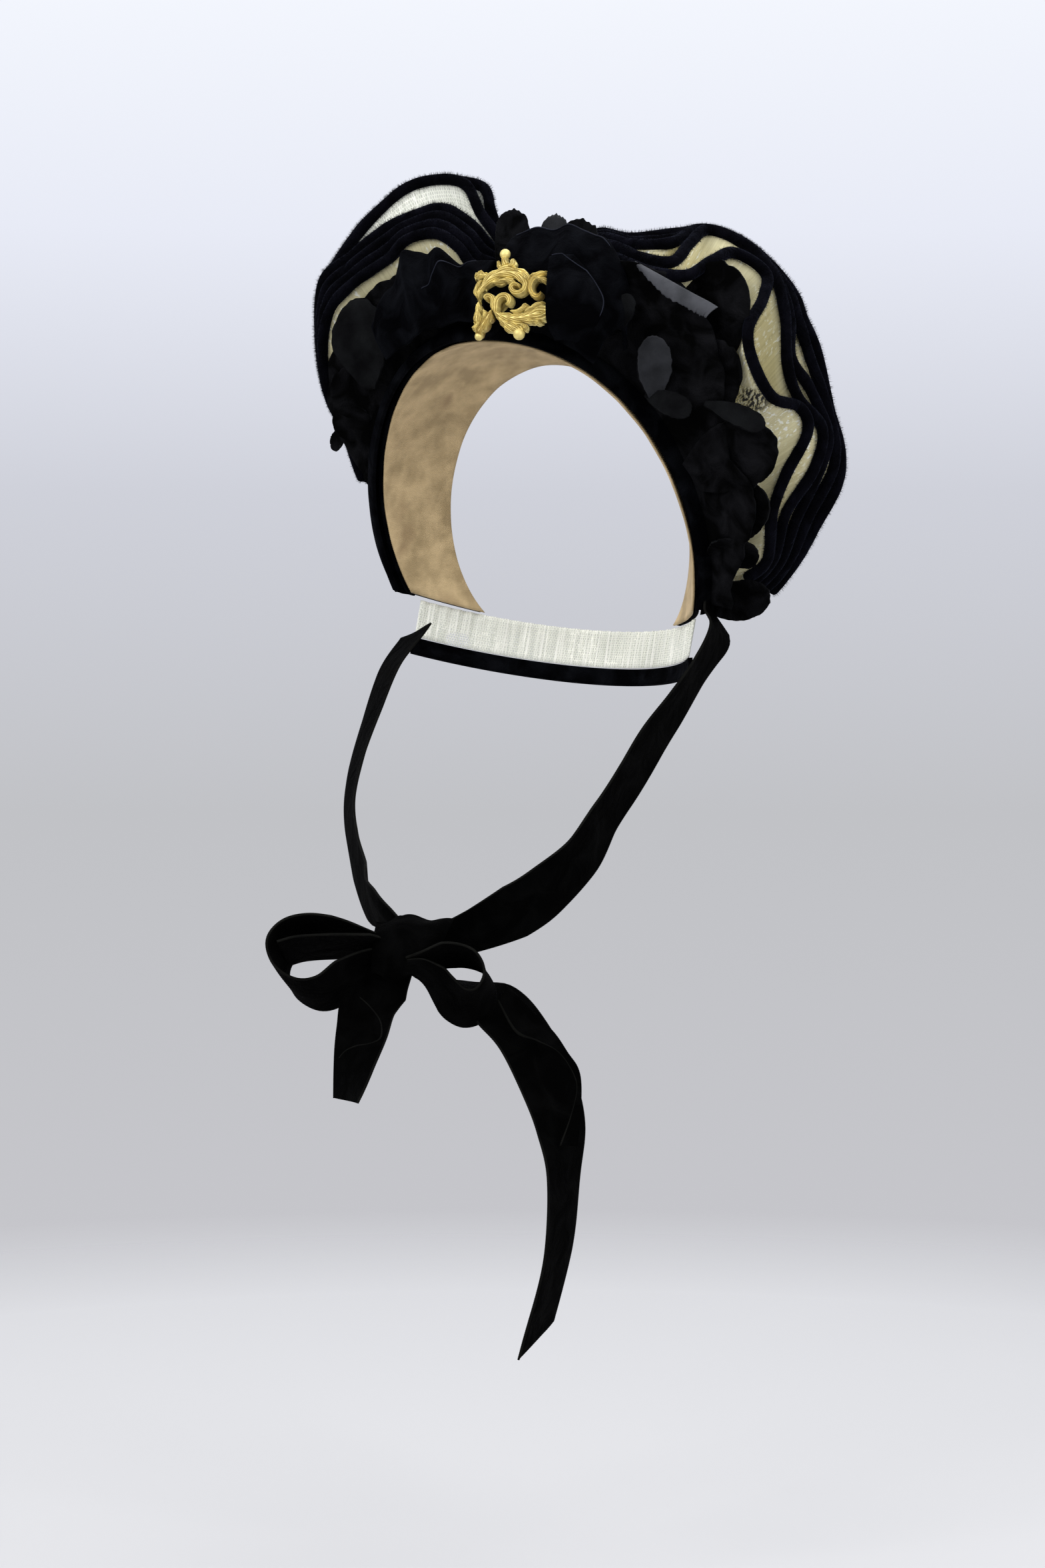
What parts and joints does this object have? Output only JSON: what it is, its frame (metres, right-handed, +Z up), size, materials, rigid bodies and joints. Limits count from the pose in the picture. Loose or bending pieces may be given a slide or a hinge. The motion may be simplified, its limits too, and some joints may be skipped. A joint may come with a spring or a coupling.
{
  "type": "half bonnet",
  "caption": "Half bonnet of black velvet with fans of velvet-edged net ruffles, velvet petals, a gilt scroll ornament and a ribbon tied in a bow.",
  "frame": {"origin": "on the lining at the top of the head hollow, where the bonnet sits on a head", "axes": "+Z up as worn, -Y the way the wearer faces, +X to the wearer's left"},
  "size_m": [0.2642, 0.2238, 0.5128],
  "materials": {
    "black_velvet": "matt pile with a faint blue sheen",
    "black_velvet_ribbon": "matt pile",
    "charcoal_silk": "satin back of velvet",
    "tan_silk": "soft satin",
    "cream_net": "matt net",
    "matt_gilt": "matt gilt casting"
  },
  "bodies": {
    "root": {"crown_form": "black_velvet", "crown_lining": "tan_silk", "headband": "black_velvet", "bow_lobe_right": "black_velvet", "bow_lobe_left": "black_velvet", "ornament": "matt_gilt", "ruffle_roll_right_1": "black_velvet", "ruffle_roll_right_2": "black_velvet", "ruffle_roll_right_3": "black_velvet", "ruffle_roll_right_4": "black_velvet", "ruffle_roll_right_5": "black_velvet", "ruffle_net_right_1": "cream_net", "ruffle_net_right_2": "cream_net", "ruffle_net_right_3": "cream_net", "ruffle_net_right_4": "cream_net", "ruffle_net_right_5": "cream_net", "ruffle_roll_left_1": "black_velvet", "ruffle_roll_left_2": "black_velvet", "ruffle_roll_left_3": "black_velvet", "ruffle_roll_left_4": "black_velvet", "ruffle_roll_left_5": "black_velvet", "ruffle_roll_left_6": "black_velvet", "ruffle_net_left_1": "cream_net", "ruffle_net_left_2": "cream_net", "ruffle_net_left_3": "cream_net", "ruffle_net_left_4": "cream_net", "ruffle_net_left_5": "cream_net", "ruffle_net_left_6": "cream_net", "petal_right_blade": "charcoal_silk", "petal_right_crest": "black_velvet", "petal_right_back": "black_velvet", "petal_right_dark": "black_velvet", "petal_right_silk_top": "charcoal_silk", "petal_right_silk_wide": "charcoal_silk", "petal_right_silk_low": "charcoal_silk", "petal_right_leaf": "charcoal_silk", "petal_right_round": "black_velvet", "petal_right_low": "black_velvet", "petal_right_matt": "black_velvet", "petal_left_silk": "charcoal_silk", "petal_left_low": "black_velvet", "petal_left_crumpled": "black_velvet", "petal_left_fold": "black_velvet", "petal_top_left": "black_velvet", "petal_top_middle": "black_velvet", "petal_top_right": "black_velvet", "tab_right": "black_velvet", "tab_left": "black_velvet", "nape_net": "cream_net", "nape_edge": "black_velvet", "strap_right": "black_velvet_ribbon", "strap_left": "black_velvet_ribbon", "ribbon_tail_long": "black_velvet_ribbon", "ribbon_tail_short": "black_velvet_ribbon", "ribbon_loop_left": "black_velvet_ribbon", "ribbon_loop_right": "black_velvet_ribbon", "ribbon_knot": "black_velvet_ribbon"}
  },
  "joints": []
}
